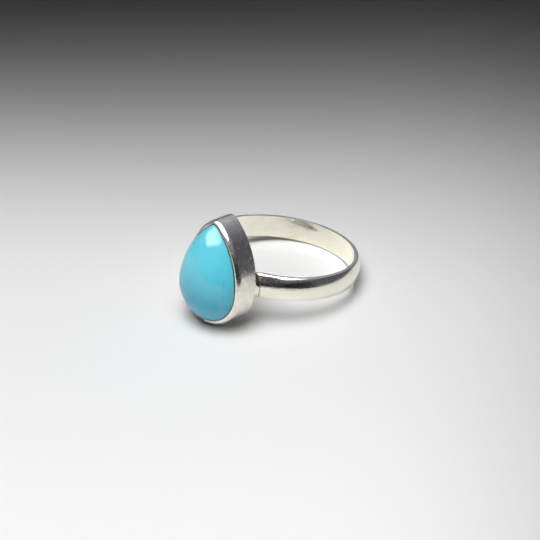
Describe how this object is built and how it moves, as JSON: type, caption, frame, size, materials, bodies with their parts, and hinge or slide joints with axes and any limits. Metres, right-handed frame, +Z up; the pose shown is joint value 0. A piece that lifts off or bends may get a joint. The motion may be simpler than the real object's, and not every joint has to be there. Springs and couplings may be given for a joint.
{
  "type": "turquoise ring",
  "caption": "Silver finger ring with a narrow low-domed band and a pear-shaped turquoise cabochon in a plain closed-back bezel, lying on its side.",
  "frame": {"origin": "centre of the ring's box in plan, on the surface that the ring lies on", "axes": "+Z up from the surface, -Y towards the stone, +X across the ring; the finger hole's axis leans from +Z towards +Y by the tilt at which the ring lies"},
  "size_m": [0.0188, 0.023, 0.0127],
  "materials": {
    "silver": "polished sterling silver with fine scratches, satin on the setting's wall",
    "turquoise": "polished opaque turquoise with faint brown veins"
  },
  "bodies": {
    "root": {"silver_band_and_setting": "silver", "turquoise_cabochon": "turquoise"}
  },
  "joints": []
}
